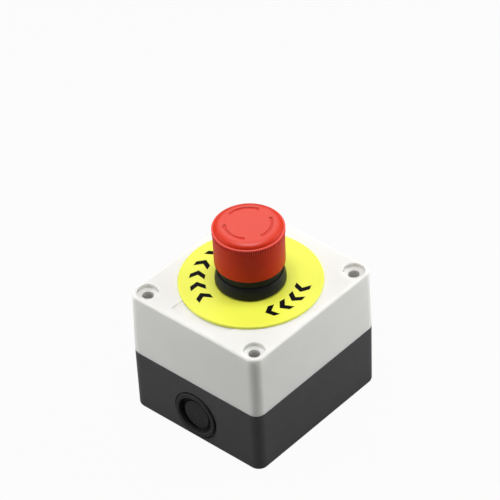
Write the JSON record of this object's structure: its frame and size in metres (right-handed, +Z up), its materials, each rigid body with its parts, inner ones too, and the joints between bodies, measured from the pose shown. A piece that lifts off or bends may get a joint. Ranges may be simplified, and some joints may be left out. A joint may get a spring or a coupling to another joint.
{
  "type": "emergency stop push button station",
  "caption": "Emergency stop button: a red twist-release cap in a black collar on a yellow legend disc, mounted in the white lid of a small dark grey enclosure with a plugged cable entry.",
  "frame": {"origin": "middle of the enclosure's underside, below the button's axis", "axes": "+Z up along the button's axis, -Y towards the plugged cable entry, +X along the short side"},
  "size_m": [0.0692, 0.0757, 0.0912],
  "materials": {
    "base_plastic": "fine matt moulding",
    "lid_plastic": "satin moulding",
    "rubber": "matt",
    "steel": "zinc-plated",
    "legend_yellow": "satin",
    "black_plastic": "satin",
    "grey_plastic": "satin",
    "cap_red": "satin moulding",
    "block_plastic": "matt",
    "pusher_red": "satin",
    "pusher_green": "satin",
    "contact_brass": "bare"
  },
  "bodies": {
    "enclosure": {"base_box": "base_plastic", "lid": "lid_plastic", "lid_gasket": "rubber", "lid_screws": "steel", "entry_plug": "rubber", "legend_disc": "legend_yellow", "panel_gasket": "rubber", "bezel": "black_plastic", "mounting_nut": "black_plastic", "shaft_seal": "rubber", "latch_ring": "steel", "plunger_guide": "grey_plastic", "return_spring": "steel", "contact_carrier": "black_plastic", "carrier_screws": "steel", "nc_housing": "block_plastic", "nc_cover": "grey_plastic", "nc_spring": "steel", "nc_terminals": "contact_brass", "nc_wire_clamps": "steel", "nc_terminal_screws": "steel", "no_housing": "block_plastic", "no_cover": "grey_plastic", "no_spring": "steel", "no_terminals": "contact_brass", "no_wire_clamps": "steel", "no_terminal_screws": "steel"},
    "plunger": {"plunger": "grey_plastic", "plunger_clip": "steel", "pusher_bar": "grey_plastic"},
    "head": {"head_cap": "cap_red", "head_sleeve": "black_plastic", "twist_cam": "grey_plastic"},
    "nc_contacts": {"nc_pusher": "pusher_red", "nc_bridge": "contact_brass"},
    "no_contacts": {"no_pusher": "pusher_green", "no_bridge": "contact_brass"}
  },
  "joints": [
    {"name": "push", "type": "slide", "parent": "enclosure", "child": "plunger", "axis": [0, 0, -1], "range_m": [0, 0.004], "stiffness_N_per_m": 2500, "springref_m": -0.006, "deforming": ["return_spring"]},
    {"name": "twist", "type": "hinge", "parent": "plunger", "child": "head", "pos_m": [0, 0, 0.0719], "axis": [0, 0, -1], "range_deg": [0, 40], "stiffness_Nm_per_rad": 0.08, "springref_deg": -17.19},
    {"name": "nc_slide", "type": "slide", "parent": "enclosure", "child": "nc_contacts", "axis": [0, 0, -1], "range_m": [0, 0.004], "deforming": ["nc_spring"]},
    {"name": "no_slide", "type": "slide", "parent": "enclosure", "child": "no_contacts", "axis": [0, 0, -1], "range_m": [0, 0.004], "deforming": ["no_spring"]}
  ],
  "couplings": [
    {"joint": "nc_slide", "follows": "push", "ratio": 1},
    {"joint": "no_slide", "follows": "push", "ratio": 1}
  ]
}
